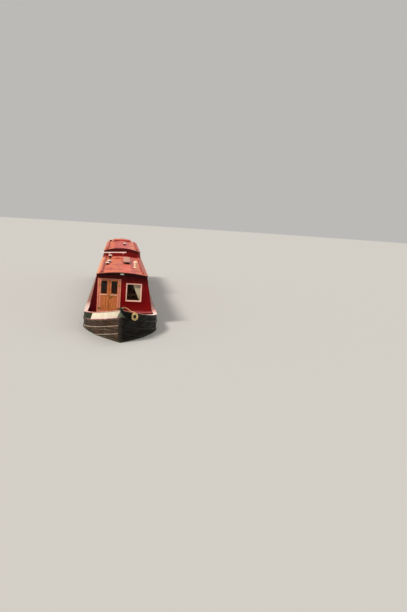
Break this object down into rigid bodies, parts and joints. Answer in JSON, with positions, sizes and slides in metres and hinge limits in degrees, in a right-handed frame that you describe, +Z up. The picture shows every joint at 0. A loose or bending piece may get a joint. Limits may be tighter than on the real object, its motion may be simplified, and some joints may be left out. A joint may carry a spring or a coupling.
{
  "type": "narrowboat",
  "caption": "Steel canal narrowboat with a front well deck, a lower front cabin, a raised aft cabin and a round counter stern.",
  "frame": {"origin": "middle of the flat base plate's underside, halfway between stem and stern", "axes": "+X to the bow, +Y to port, +Z up"},
  "size_m": [17.3699, 2.099, 2.5706],
  "materials": {
    "hull_blacking": "semi-matt bitumen paint",
    "deck_paint": "faded matt deck paint",
    "cabin_paint": "gloss crimson",
    "roof_paint": "weathered semi-gloss red",
    "varnished_wood": "varnished",
    "pale_wood": "pale painted wood",
    "brass": "dull brass",
    "floor_ply": "sealed plywood",
    "engine_grey": "painted casting",
    "cream_paint": "gloss cream",
    "white_paint": "satin white",
    "steel": "worn steel",
    "lamp_grey": "weathered grey",
    "old_board": "bare weathered board",
    "rope": "laid natural-fibre rope",
    "window_glass": "clear",
    "window_metal": "satin",
    "curtain_cloth": "cream cotton"
  },
  "bodies": {
    "boat": {"base_plate": "hull_blacking", "bow_side_port": "hull_blacking", "bow_side_starboard": "hull_blacking", "hull_side_port": "hull_blacking", "hull_side_starboard": "hull_blacking", "stern_side_port": "hull_blacking", "stern_side_starboard": "hull_blacking", "swim_port": "hull_blacking", "swim_starboard": "hull_blacking", "stem_post": "hull_blacking", "counter_band": "hull_blacking", "uxter_plate": "hull_blacking", "stern_post": "steel", "bow_capping_port": "deck_paint", "bow_capping_starboard": "deck_paint", "side_deck_port": "deck_paint", "side_deck_starboard": "deck_paint", "foredeck": "deck_paint", "foredeck_bulkhead": "deck_paint", "well_floor": "deck_paint", "stern_deck": "deck_paint", "cabin_floor": "floor_ply", "engine": "engine_grey", "front_bulkhead": "cabin_paint", "cabin_side_port": "cabin_paint", "cabin_side_starboard": "cabin_paint", "raised_side_port": "cabin_paint", "raised_side_starboard": "cabin_paint", "step_face": "cabin_paint", "rear_bulkhead": "cabin_paint", "main_roof": "roof_paint", "raised_roof": "roof_paint", "handrail_main_port": "cabin_paint", "handrail_main_starboard": "cabin_paint", "handrail_raised_port": "cabin_paint", "handrail_raised_starboard": "cabin_paint", "front_door_frame": "pale_wood", "front_window_frame": "pale_wood", "rear_door_frame": "varnished_wood", "flue": "cream_paint", "gang_plank": "old_board", "roof_hatch": "roof_paint", "roof_staff": "white_paint", "front_lamp": "lamp_grey", "roof_vent_1": "white_paint", "roof_vent_2": "white_paint", "roof_vent_3": "white_paint", "roof_vent_4": "white_paint", "roof_vent_5": "white_paint", "rope_tail": "rope", "rope_coil": "rope"},
    "propeller": {"propeller": "brass"},
    "rudder": {"rudder": "hull_blacking", "tiller": "brass"},
    "front_door_port": {"front_door_port": "varnished_wood"},
    "front_door_starboard": {"front_door_starboard": "varnished_wood"},
    "rear_door_port": {"rear_door_port": "varnished_wood"},
    "rear_door_starboard": {"rear_door_starboard": "varnished_wood"},
    "hatch_slide": {"hatch_slide": "roof_paint"},
    "locker_lid": {"locker_lid": "deck_paint"}
  },
  "joints": [
    {"name": "propeller_spin", "type": "hinge", "parent": "boat", "child": "propeller", "pos_m": [-7.835, 0, 0.3], "axis": [1, 0, 0], "continuous": true},
    {"name": "rudder_turn", "type": "hinge", "parent": "boat", "child": "rudder", "pos_m": [-8.265, 0, 1.06], "axis": [0, 0, 1], "range_deg": [-35, 35]},
    {"name": "front_door_port_swing", "type": "hinge", "parent": "boat", "child": "front_door_port", "pos_m": [5.5603, -0.062, 0.92], "axis": [0, 0, 1], "range_deg": [0, 100]},
    {"name": "front_door_starboard_swing", "type": "hinge", "parent": "boat", "child": "front_door_starboard", "pos_m": [5.5603, -0.658, 0.92], "axis": [0, 0, -1], "range_deg": [0, 100]},
    {"name": "rear_door_port_swing", "type": "hinge", "parent": "boat", "child": "rear_door_port", "pos_m": [-7.7403, 0.338, 1.14], "axis": [0, 0, -1], "range_deg": [0, 165]},
    {"name": "rear_door_starboard_swing", "type": "hinge", "parent": "boat", "child": "rear_door_starboard", "pos_m": [-7.7403, -0.338, 1.14], "axis": [0, 0, 1], "range_deg": [0, 165]},
    {"name": "hatch_slide", "type": "slide", "parent": "boat", "child": "hatch_slide", "axis": [1, 0, 0], "range_m": [0, 0.6]},
    {"name": "locker_lid_lift", "type": "hinge", "parent": "boat", "child": "locker_lid", "pos_m": [8.09, 0, 1.319], "axis": [0, 1, 0], "range_deg": [0, 95]}
  ]
}
